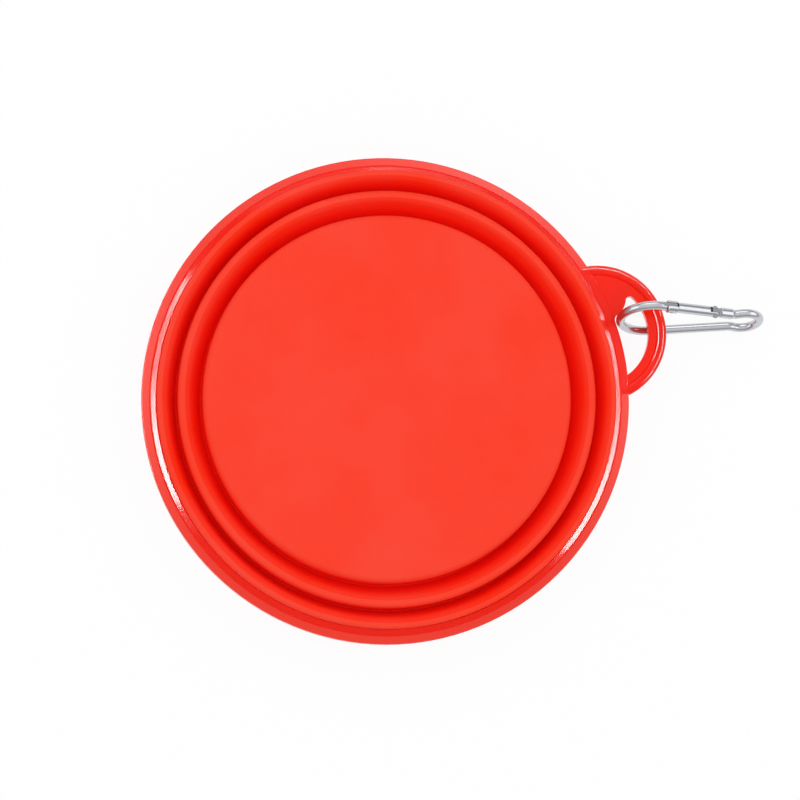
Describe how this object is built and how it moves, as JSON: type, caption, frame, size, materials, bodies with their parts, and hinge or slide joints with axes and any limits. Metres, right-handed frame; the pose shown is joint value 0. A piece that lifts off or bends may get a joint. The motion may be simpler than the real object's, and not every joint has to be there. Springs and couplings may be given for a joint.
{
  "type": "collapsible bowl",
  "caption": "Round collapsible silicone bowl lying folded: base and middle band slide out of a glossy rim, and a snap clip with a sprung gate swings in the rim's tab.",
  "frame": {"origin": "On the bowl's axis, in the plane that the rim rests on when the bowl lies collapsed and rim down", "axes": "+Z out of the underside of the base, +X from the axis through the middle of the hanging tab"},
  "size_m": [0.1687, 0.13, 0.0174],
  "materials": {
    "silicone": "matte red silicone",
    "rim": "glossy red",
    "aluminium": "polished",
    "steel": "plain drawn wire"
  },
  "bodies": {
    "rim": {"rim_ring": "rim", "wall_collar": "silicone", "outer_fold": "silicone"},
    "middle": {"middle_band": "silicone", "inner_fold": "silicone"},
    "base": {"base_cup": "silicone"},
    "clip": {"clip_body": "aluminium"},
    "gate": {"gate": "aluminium", "hinge_rivet": "steel", "latch_pin": "steel", "gate_spring": "steel"},
    "pusher": {"spring_pusher": "steel"}
  },
  "joints": [
    {"name": "middle_slide", "type": "slide", "parent": "rim", "child": "middle", "axis": [0, 0, 1], "range_m": [0, 0.021], "deforming": ["outer_fold"]},
    {"name": "base_slide", "type": "slide", "parent": "middle", "child": "base", "axis": [0, 0, 1], "range_m": [0, 0.021], "deforming": ["inner_fold"]},
    {"name": "clip_swing", "type": "hinge", "parent": "rim", "child": "clip", "pos_m": [0.07402, -0.0003, 0.00869], "axis": [-0.2517, -0.9137, 0.319], "range_deg": [0, 115]},
    {"name": "gate_hinge", "type": "hinge", "parent": "clip", "child": "gate", "pos_m": [0.09092, -0.00415, 0.011], "axis": [-0.2517, -0.9137, 0.319], "range_deg": [0, 22], "stiffness_Nm_per_rad": 0.02, "springref_deg": -34.38},
    {"name": "pusher_slide", "type": "slide", "parent": "gate", "child": "pusher", "axis": [-0.8852, 0.3506, 0.3059], "range_m": [0, 0.00034], "deforming": ["gate_spring"]}
  ],
  "couplings": [
    {"joint": "pusher_slide", "follows": "gate_hinge", "m_per_rad": 0.00088504}
  ]
}
